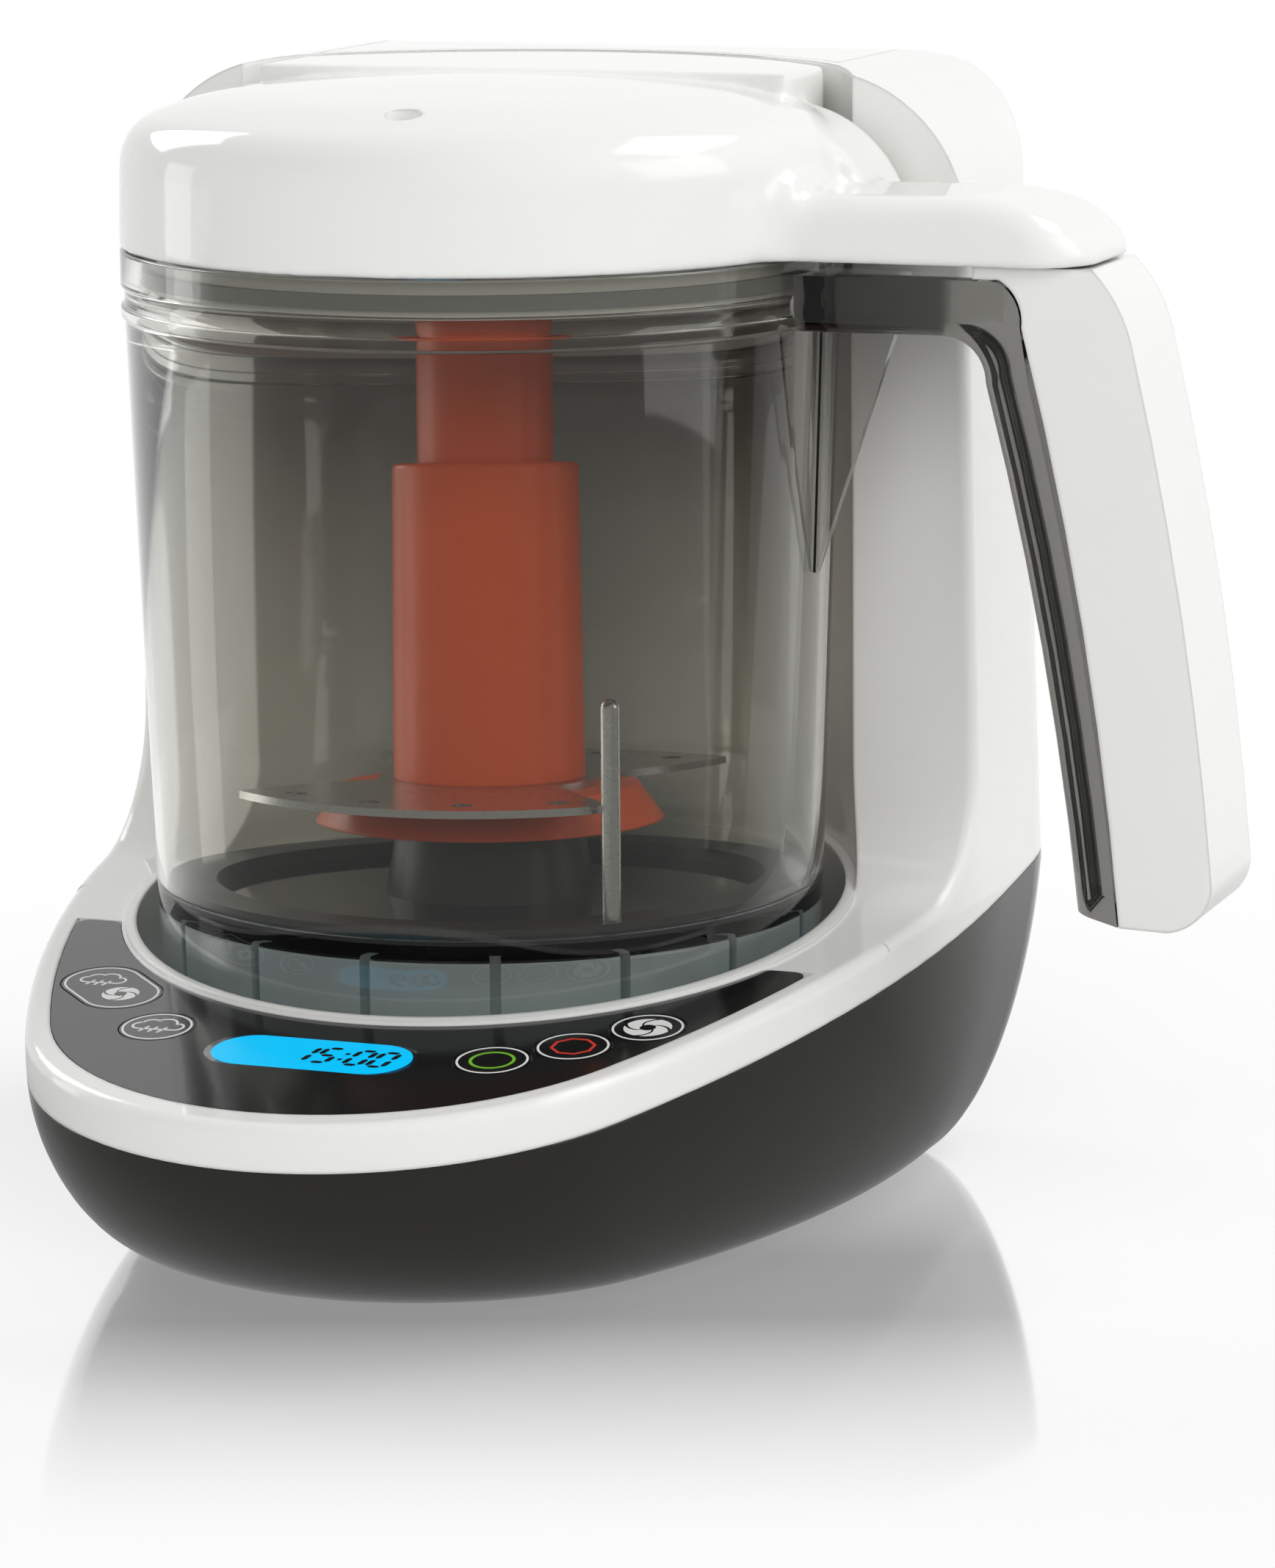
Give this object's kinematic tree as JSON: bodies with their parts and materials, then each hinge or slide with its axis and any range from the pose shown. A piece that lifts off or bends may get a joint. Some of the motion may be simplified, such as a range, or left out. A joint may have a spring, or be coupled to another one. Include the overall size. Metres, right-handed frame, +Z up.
{
  "type": "baby food maker",
  "caption": "Countertop steamer and blender with a clear lidded bowl, blade on a central column, water tank tower and sloping control panel.",
  "frame": {"origin": "middle of the footprint, on the surface that the feet stand on", "axes": "+Z up, -Y towards the control panel, +X towards the bowl's handle"},
  "size_m": [0.2344, 0.2183, 0.217],
  "materials": {
    "white_shell": "polished mould",
    "dark_base": "polished mould",
    "panel_gloss": "gloss film",
    "clear_window": "clear moulding",
    "screen": "backlit glass",
    "circuit_board": "solder mask",
    "smoke_clear": "clear moulding",
    "terracotta": "fine satin",
    "blade_steel": "brushed",
    "motor_steel": "plated",
    "boiler_metal": "as cast",
    "bush_brass": "turned",
    "black_plastic": "fine satin",
    "milky_plastic": "satin",
    "soft_seal": "moulded silicone"
  },
  "bodies": {
    "base": {"lower_housing": "dark_base", "bottom_cover": "dark_base", "rubber_feet": "soft_seal", "cover_screws": "blade_steel", "upper_housing": "white_shell", "hinge_pin": "blade_steel", "panel_overlay": "panel_gloss", "display_window": "clear_window", "lcd_module": "screen", "control_board": "circuit_board", "key_switches": "black_plastic", "bowl_seat": "black_plastic", "seat_screws": "blade_steel", "motor": "motor_steel", "motor_bracket": "motor_steel", "spindle_bush": "bush_brass", "water_tank": "milky_plastic", "boiler": "boiler_metal", "steam_pipe": "soft_seal", "steam_nozzle": "soft_seal", "power_inlet": "black_plastic", "power_board": "circuit_board"},
    "drive": {"drive_shaft": "blade_steel", "drive_coupling": "black_plastic"},
    "bowl_unit": {"bowl": "smoke_clear", "handle_cover": "white_shell", "floor_ring": "black_plastic", "probe": "blade_steel", "bearing_housing": "black_plastic"},
    "blade_unit": {"bowl_coupling": "black_plastic", "blade_spindle": "blade_steel", "blade_skirt": "terracotta", "blade": "blade_steel", "blade_hub": "terracotta", "hub_column": "terracotta"},
    "lid_unit": {"lid_shell": "white_shell", "vent_bush": "soft_seal", "lid_plug": "milky_plastic", "lid_gasket": "soft_seal", "steam_inlet": "soft_seal"},
    "tank_flap": {"tank_lid": "white_shell"},
    "start_key_unit": {"start_key": "panel_gloss"},
    "stop_key_unit": {"stop_key": "panel_gloss"},
    "blend_key_unit": {"blend_key": "panel_gloss"},
    "steam_key_unit": {"steam_key": "panel_gloss"},
    "cycle_key_unit": {"cycle_key": "panel_gloss"}
  },
  "joints": [
    {"name": "bowl_lift", "type": "slide", "parent": "base", "child": "bowl_unit", "axis": [0, 0, 1], "range_m": [0, 0.15]},
    {"name": "lid_lift", "type": "slide", "parent": "bowl_unit", "child": "lid_unit", "axis": [0, 0, 1], "range_m": [0, 0.1]},
    {"name": "blade_spin", "type": "hinge", "parent": "bowl_unit", "child": "blade_unit", "pos_m": [-0.02865, 0.012, 0.09], "axis": [0, 0, 1], "continuous": true},
    {"name": "drive_spin", "type": "hinge", "parent": "base", "child": "drive", "pos_m": [-0.02865, 0.012, 0.055], "axis": [0, 0, 1], "continuous": true},
    {"name": "tank_lid_hinge", "type": "hinge", "parent": "base", "child": "tank_flap", "pos_m": [-0.02865, 0.104, 0.2056], "axis": [-1, 0, 0], "range_deg": [0, 95]},
    {"name": "start_key_press", "type": "slide", "parent": "base", "child": "start_key_unit", "axis": [0, 0.1253, -0.9921], "range_m": [0, 0.0004], "stiffness_N_per_m": 1200},
    {"name": "stop_key_press", "type": "slide", "parent": "base", "child": "stop_key_unit", "axis": [0, 0.1253, -0.9921], "range_m": [0, 0.0004], "stiffness_N_per_m": 1200},
    {"name": "blend_key_press", "type": "slide", "parent": "base", "child": "blend_key_unit", "axis": [0, 0.1253, -0.9921], "range_m": [0, 0.0004], "stiffness_N_per_m": 1200},
    {"name": "steam_key_press", "type": "slide", "parent": "base", "child": "steam_key_unit", "axis": [0, 0.1253, -0.9921], "range_m": [0, 0.0004], "stiffness_N_per_m": 1200},
    {"name": "cycle_key_press", "type": "slide", "parent": "base", "child": "cycle_key_unit", "axis": [0, 0.1253, -0.9921], "range_m": [0, 0.0004], "stiffness_N_per_m": 1200}
  ],
  "couplings": [
    {"joint": "drive_spin", "follows": "blade_spin", "ratio": 1}
  ]
}
